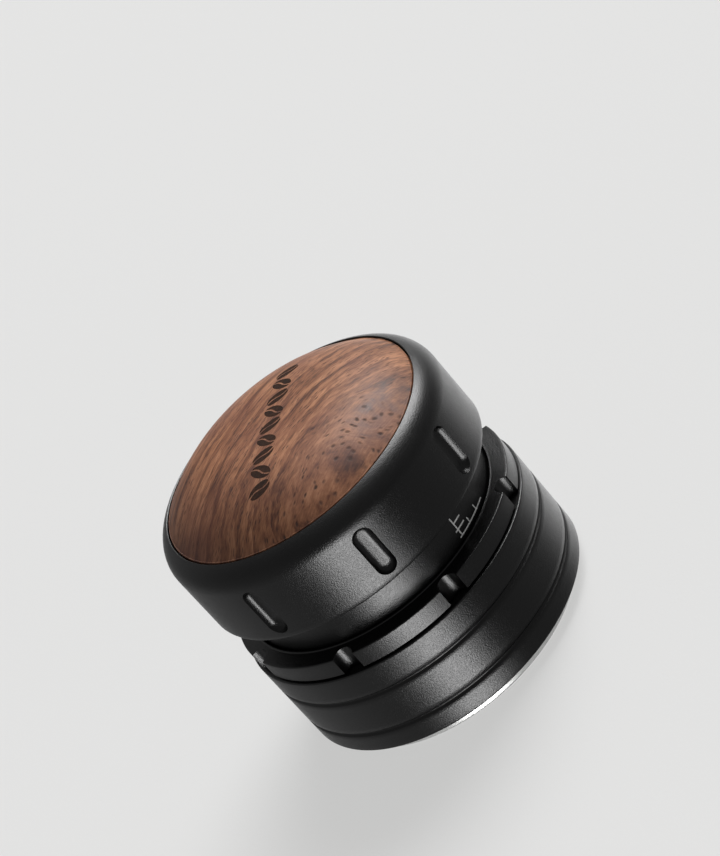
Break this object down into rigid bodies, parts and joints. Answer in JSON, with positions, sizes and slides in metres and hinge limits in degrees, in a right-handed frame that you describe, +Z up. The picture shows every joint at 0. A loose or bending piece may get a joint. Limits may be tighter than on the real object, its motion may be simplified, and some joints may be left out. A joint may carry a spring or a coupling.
{
  "type": "espresso tamper",
  "caption": "Palm espresso tamper: walnut-topped press handle sprung on a guide collar, with a sliding levelling skirt, a fluted depth ring and a flat stainless base.",
  "frame": {"origin": "Centre of the tamper base's flat underside, the lowest face of the object.", "axes": "+Z up along the axis that all the turned parts share. -Y is the front, where one finger recess of the cap looks forward. +X is to the right seen from the front."},
  "size_m": [0.064, 0.064, 0.0605],
  "materials": {
    "black_anodised": "sandblasted, black anodised",
    "stainless": "polished stainless steel",
    "walnut": "oiled walnut, satin",
    "brass": "turned brass",
    "acetal": "natural acetal",
    "spring_steel": "drawn spring wire",
    "zinc_steel": "zinc plated",
    "nitrile": "black nitrile rubber"
  },
  "bodies": {
    "piston": {"tamper_base": "stainless", "guide_collar": "black_anodised", "base_screw_1": "zinc_steel", "base_screw_2": "zinc_steel", "base_screw_3": "zinc_steel", "base_screw_4": "zinc_steel", "spindle_bush": "brass", "lower_spring_seat": "zinc_steel", "stroke_stop_tube": "zinc_steel", "spring_retainer": "zinc_steel", "snap_ring": "spring_steel", "pressure_spring": "spring_steel", "levelling_spring": "spring_steel"},
    "skirt": {"levelling_skirt": "black_anodised", "skirt_bush": "acetal", "follower_ring": "brass", "follower_pin_1": "stainless", "follower_pin_2": "stainless", "follower_pin_3": "stainless"},
    "ring_carrier": {"ring_friction_seal": "nitrile"},
    "adjuster": {"depth_ring": "black_anodised"},
    "handle": {"cap_shell": "black_anodised", "walnut_dome": "walnut", "cap_guide_band": "acetal", "spindle": "stainless", "retaining_washer": "zinc_steel", "retaining_nut": "zinc_steel", "upper_spring_seat": "zinc_steel", "dome_screw_1": "zinc_steel", "dome_screw_2": "zinc_steel", "dome_screw_3": "zinc_steel"}
  },
  "joints": [
    {"name": "handle_press", "type": "slide", "parent": "piston", "child": "handle", "axis": [0, 0, -1], "range_m": [0, 0.0022], "stiffness_N_per_m": 20000, "springref_m": -0.0055, "deforming": ["pressure_spring"]},
    {"name": "skirt_slide", "type": "slide", "parent": "piston", "child": "skirt", "axis": [0, 0, 1], "range_m": [0, 0.004], "stiffness_N_per_m": 600, "springref_m": -0.012, "deforming": ["levelling_spring"]},
    {"name": "ring_rise", "type": "slide", "parent": "skirt", "child": "ring_carrier", "axis": [0, 0, 1], "range_m": [0, 0.0015]},
    {"name": "ring_turn", "type": "hinge", "parent": "ring_carrier", "child": "adjuster", "pos_m": [0, 0, 0.0255], "axis": [0, 0, 1], "range_deg": [0, 360]}
  ],
  "couplings": [
    {"joint": "ring_turn", "follows": "ring_rise", "rad_per_m": 4188.8}
  ]
}
